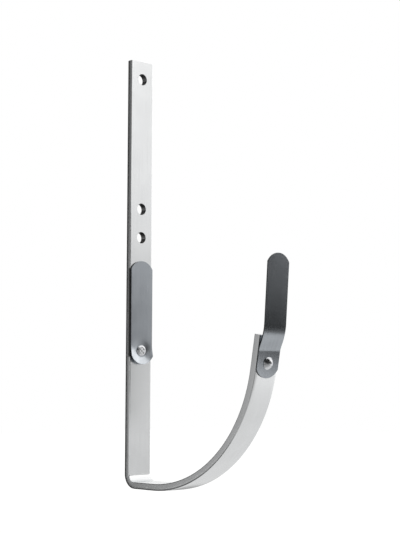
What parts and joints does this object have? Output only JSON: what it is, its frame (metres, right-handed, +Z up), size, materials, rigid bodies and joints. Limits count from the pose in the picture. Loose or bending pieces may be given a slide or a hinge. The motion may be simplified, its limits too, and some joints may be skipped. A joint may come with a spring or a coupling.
{
  "type": "gutter bracket",
  "caption": "Long-arm gutter bracket: a flat steel bar with fixing holes, bent into a quarter-round hook, with riveted bend-over clips.",
  "frame": {"origin": "centre of the lowest fixing hole, on the back face of the arm", "axes": "+Z up the arm, +X from the arm towards the front of the hook, +Y across the width of the bar"},
  "size_m": [0.1729, 0.025, 0.378],
  "materials": {
    "bar_steel": "cold-drawn flat bar, satin bright zinc finish",
    "clip_steel": "thin sheet, smooth satin zinc finish, darker than the bar",
    "rivet_steel": "smooth domed head, semi-bright"
  },
  "bodies": {
    "root": {"bracket_bar": "bar_steel", "rear_clip": "clip_steel", "rear_rivet": "rivet_steel", "front_clip": "clip_steel", "front_rivet": "rivet_steel"}
  },
  "joints": []
}
